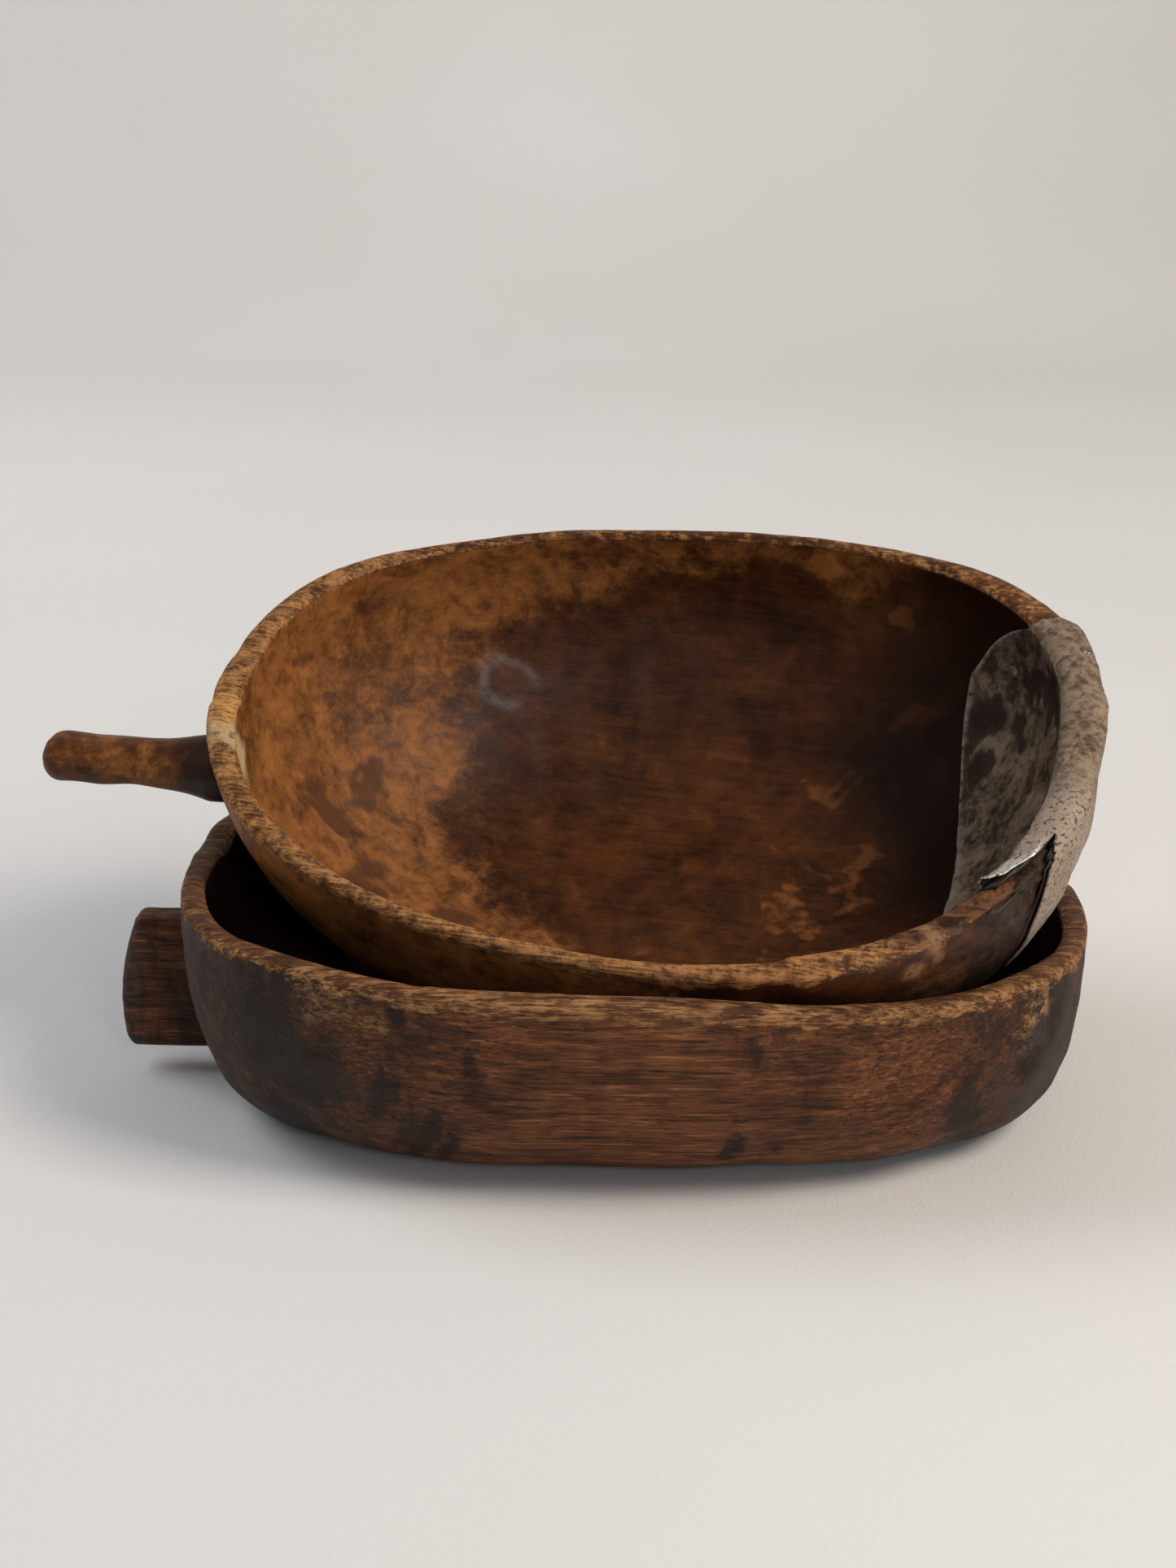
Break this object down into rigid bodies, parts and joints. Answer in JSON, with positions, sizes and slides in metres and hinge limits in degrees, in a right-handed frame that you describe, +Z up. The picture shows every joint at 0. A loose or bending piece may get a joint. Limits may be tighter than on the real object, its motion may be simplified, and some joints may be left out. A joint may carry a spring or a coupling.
{
  "type": "carved wooden kuksa cup nested in its companion bowl",
  "caption": "Hand-carved oval wooden cup with a slender handle and a tin-mended rim, resting tilted in a trough-shaped companion bowl with a stub handle.",
  "frame": {"origin": "centre of the flat face under the companion bowl, where the pair stands", "axes": "+Z up, +X towards the mended end of the cup, +Y towards its raised far side; the handles point along -X"},
  "size_m": [0.2852, 0.1876, 0.1355],
  "materials": {
    "dark_wood": "dark, oiled and worn",
    "warm_wood": "waxed inside, worn and fibrous at the rim",
    "pitch": "old tar pitch, dull",
    "old_tin": "dull grey tinned sheet with rust freckles",
    "tack_iron": "dark iron tack heads"
  },
  "bodies": {
    "bowl": {"companion_bowl": "dark_wood"},
    "cup": {"cup_body": "warm_wood", "pitch_bed": "pitch", "tin_patch": "old_tin", "rim_tack": "tack_iron", "inner_tack_1": "tack_iron", "inner_tack_2": "tack_iron", "inner_tack_3": "tack_iron", "inner_tack_4": "tack_iron", "outer_tack_1": "tack_iron", "outer_tack_2": "tack_iron", "outer_tack_3": "tack_iron", "outer_tack_4": "tack_iron"}
  },
  "joints": [
    {"name": "cup_lift", "type": "slide", "parent": "bowl", "child": "cup", "axis": [0, 0, 1], "range_m": [0, 0.15]}
  ]
}
